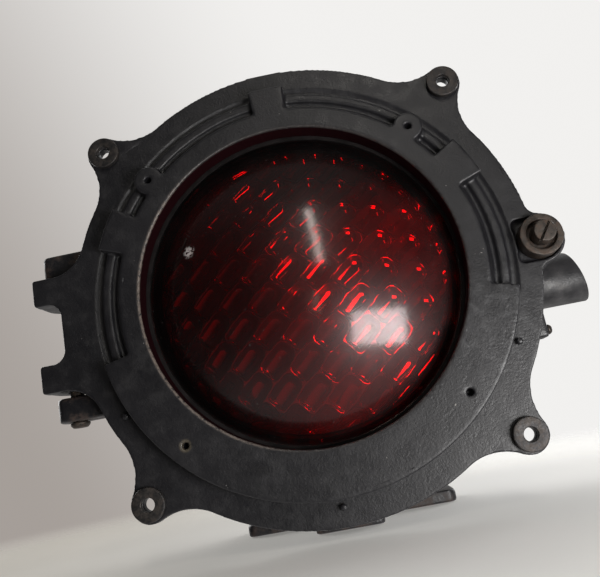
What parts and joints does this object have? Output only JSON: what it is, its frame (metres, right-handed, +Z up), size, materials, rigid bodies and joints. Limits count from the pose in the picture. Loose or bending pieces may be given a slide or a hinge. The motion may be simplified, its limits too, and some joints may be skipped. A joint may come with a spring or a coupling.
{
  "type": "railway signal lamp",
  "caption": "Cast railway signal lamp head with a domed red lens in a hinged front door, a screw latch, mounting ears, a side tube and a bolt-down base.",
  "frame": {"origin": "on the sole of the base plate, straight below the optical axis and 100 mm behind the front face of the door's flange", "axes": "+Z up, the lamp faces -Y, and +X is the latch side, on the viewer's right"},
  "size_m": [0.3663, 0.184, 0.3059],
  "materials": {
    "cast_black_paint": "satin black paint over sand-cast iron, worn at the edges",
    "worn_steel": "dull steel with brown rust",
    "brass": "tarnished brass",
    "rubber": "matt black rubber",
    "bakelite": "dark brown moulded phenolic",
    "insulation": "red insulated wire",
    "red_glass": "deep ruby glass, polished outside and prismatic inside",
    "clear_glass": "clear glass"
  },
  "bodies": {
    "housing": {"rear_housing": "cast_black_paint", "side_tube": "cast_black_paint", "hinge_pin_upper": "worn_steel", "hinge_pin_lower": "worn_steel", "lamp_bracket": "worn_steel", "bracket_screw_left": "worn_steel", "bracket_screw_right": "worn_steel", "earth_screw": "brass", "lamp_socket": "brass", "bulb_cap": "brass", "block_screw_left": "brass", "block_screw_right": "brass", "terminal_screw_1": "brass", "terminal_screw_2": "brass", "terminal_screw_3": "brass", "terminal_screw_4": "brass", "door_gasket": "rubber", "cable_grommet": "rubber", "socket_insulator": "bakelite", "terminal_block": "bakelite", "lamp_wire_left": "insulation", "lamp_wire_right": "insulation", "bulb_glass": "clear_glass", "bulb_stem": "clear_glass"},
    "door": {"door_casting": "cast_black_paint", "ear_spacer_top_right": "worn_steel", "ear_spacer_top_left": "worn_steel", "ear_spacer_bottom_left": "worn_steel", "ear_spacer_bottom_right": "worn_steel", "hood_peg_left": "cast_black_paint", "hood_peg_right": "cast_black_paint", "hood_peg_bottom": "cast_black_paint", "lens": "red_glass", "lens_front_seal": "rubber", "lens_rear_seal": "rubber", "lens_clamp_ring": "brass", "clamp_screw_1": "brass", "clamp_screw_2": "brass", "clamp_screw_3": "brass", "clamp_screw_4": "brass", "clamp_screw_5": "brass", "clamp_screw_6": "brass"},
    "collar": {"latch_collar": "worn_steel"},
    "screw": {"latch_screw": "worn_steel", "latch_retaining_clip": "worn_steel"}
  },
  "joints": [
    {"name": "door_swing", "type": "hinge", "parent": "housing", "child": "door", "pos_m": [-0.162, -0.078, 0.156], "axis": [0, 0, -1], "range_deg": [0, 120]},
    {"name": "latch_travel", "type": "slide", "parent": "door", "child": "collar", "axis": [0, -1, 0], "range_m": [0, 0.0121]},
    {"name": "latch_turn", "type": "hinge", "parent": "collar", "child": "screw", "pos_m": [0.151, -0.1, 0.156], "axis": [0, -1, 0], "range_deg": [0, 2880]}
  ],
  "couplings": [
    {"joint": "latch_travel", "follows": "latch_turn", "m_per_rad": 0.00023873}
  ]
}
